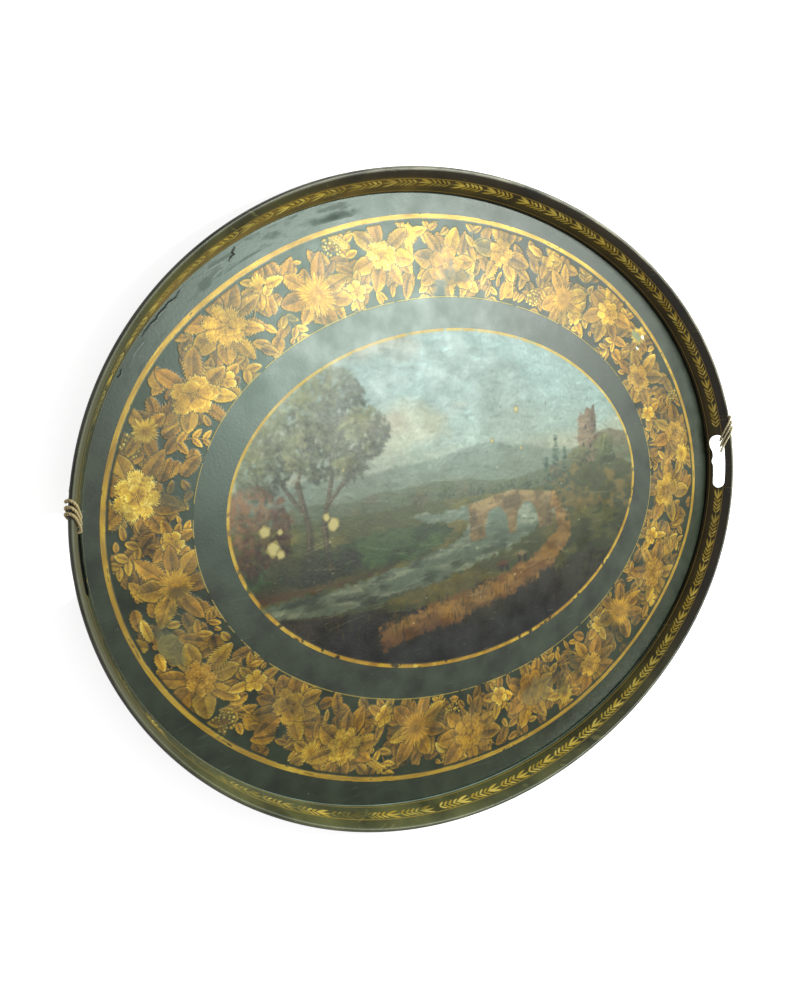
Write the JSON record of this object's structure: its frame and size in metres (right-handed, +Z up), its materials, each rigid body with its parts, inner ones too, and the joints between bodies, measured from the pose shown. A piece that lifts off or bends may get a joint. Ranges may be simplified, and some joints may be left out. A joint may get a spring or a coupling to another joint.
{
  "type": "painted tray",
  "caption": "Oval painted sheet-iron tray with a flared wired-edge gallery, a pierced hand-hold at each end and a length of twine tied to both.",
  "frame": {"origin": "centre of the tray's box on the plane that it stands on", "axes": "+Z up out of the tray, +X along the tray's long axis, +Y to the side where the free twine lies"},
  "size_m": [0.7536, 0.5722, 0.0308],
  "materials": {
    "painted_floor": "aged painted and gilt decoration under varnish, with cracks and small losses",
    "painted_gallery": "dark japanned ground with gilt leaf sprigs, worn along the rim",
    "iron_wire": "plain drawn iron wire",
    "twine": "dull twisted hemp"
  },
  "bodies": {
    "root": {"floor_sheet": "painted_floor", "gallery_right": "painted_gallery", "gallery_left": "painted_gallery", "rim_wire": "iron_wire", "twine_right": "twine", "twine_free": "twine", "twine_left": "twine"}
  },
  "joints": []
}
